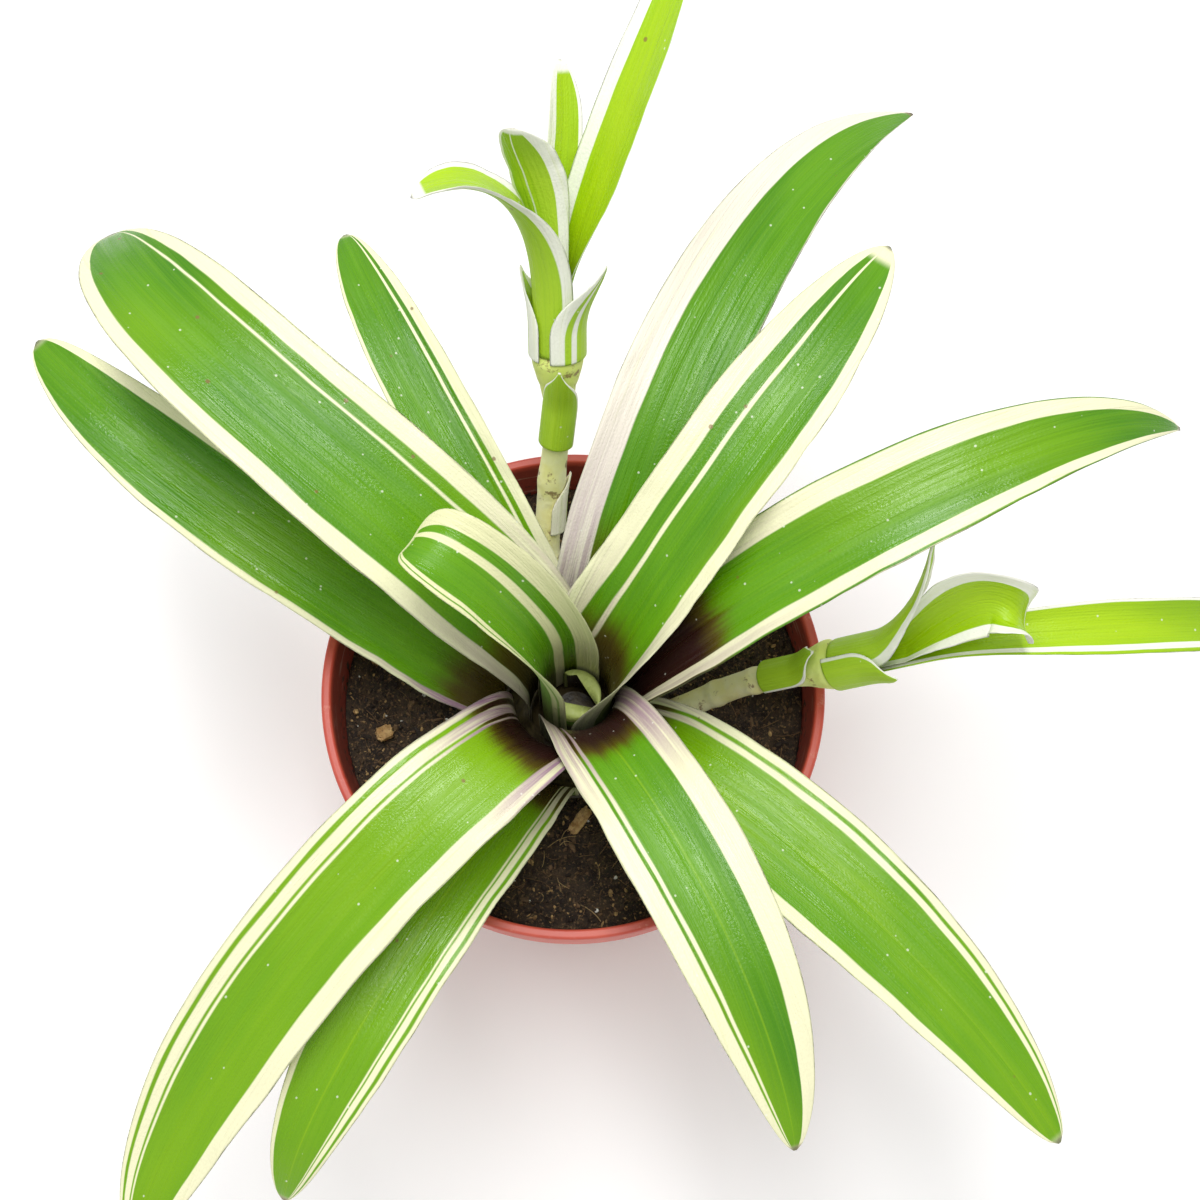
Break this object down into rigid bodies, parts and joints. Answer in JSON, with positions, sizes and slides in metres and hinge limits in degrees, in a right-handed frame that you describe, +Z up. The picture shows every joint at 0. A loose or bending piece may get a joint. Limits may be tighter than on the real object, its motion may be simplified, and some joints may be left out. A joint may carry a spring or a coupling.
{
  "type": "potted bromeliad",
  "caption": "Striped-leaf rosette plant with offsets on stolons, growing in a round tapered plastic pot filled with peat.",
  "frame": {"origin": "centre of the pot's flat underside, where it stands", "axes": "+Z up out of the pot, -Y to the front, from which the plant is seen, +X to the right, where one offset reaches over the rim"},
  "size_m": [0.3009, 0.2618, 0.2166],
  "materials": {
    "pot_plastic": "satin",
    "peat": "matte",
    "stem_tissue": "matte",
    "striped_leaf": "satin",
    "offset_leaf": "satin",
    "stolon": "satin",
    "bract": "satin",
    "bark": "matte"
  },
  "bodies": {
    "root": {"pot": "pot_plastic", "soil": "peat", "stem": "stem_tissue", "leaf_rolled_young": "striped_leaf", "leaf_arched_young": "striped_leaf", "leaf_northeast_upper": "striped_leaf", "leaf_south": "striped_leaf", "leaf_northwest": "striped_leaf", "leaf_east": "striped_leaf", "leaf_northeast_long": "striped_leaf", "leaf_southwest_broad": "striped_leaf", "leaf_southeast": "striped_leaf", "leaf_north_small": "striped_leaf", "leaf_west": "striped_leaf", "leaf_southwest_lower": "striped_leaf", "north_offset_stolon": "stolon", "north_offset_leaf_long": "offset_leaf", "north_offset_leaf_inner": "offset_leaf", "north_offset_leaf_middle": "offset_leaf", "north_offset_leaf_folded": "offset_leaf", "north_offset_bract_right": "bract", "north_offset_bract_left": "bract", "north_offset_bract_front": "bract", "north_offset_bract_lower": "bract", "east_offset_stolon": "stolon", "east_offset_leaf_curled": "offset_leaf", "east_offset_leaf_upright": "offset_leaf", "east_offset_leaf_long": "offset_leaf", "east_offset_bract_upper": "bract", "east_offset_bract_lower": "bract", "bark_chip_front": "bark", "bark_chip_left": "bark", "bark_chip_back_left": "bark"}
  },
  "joints": []
}
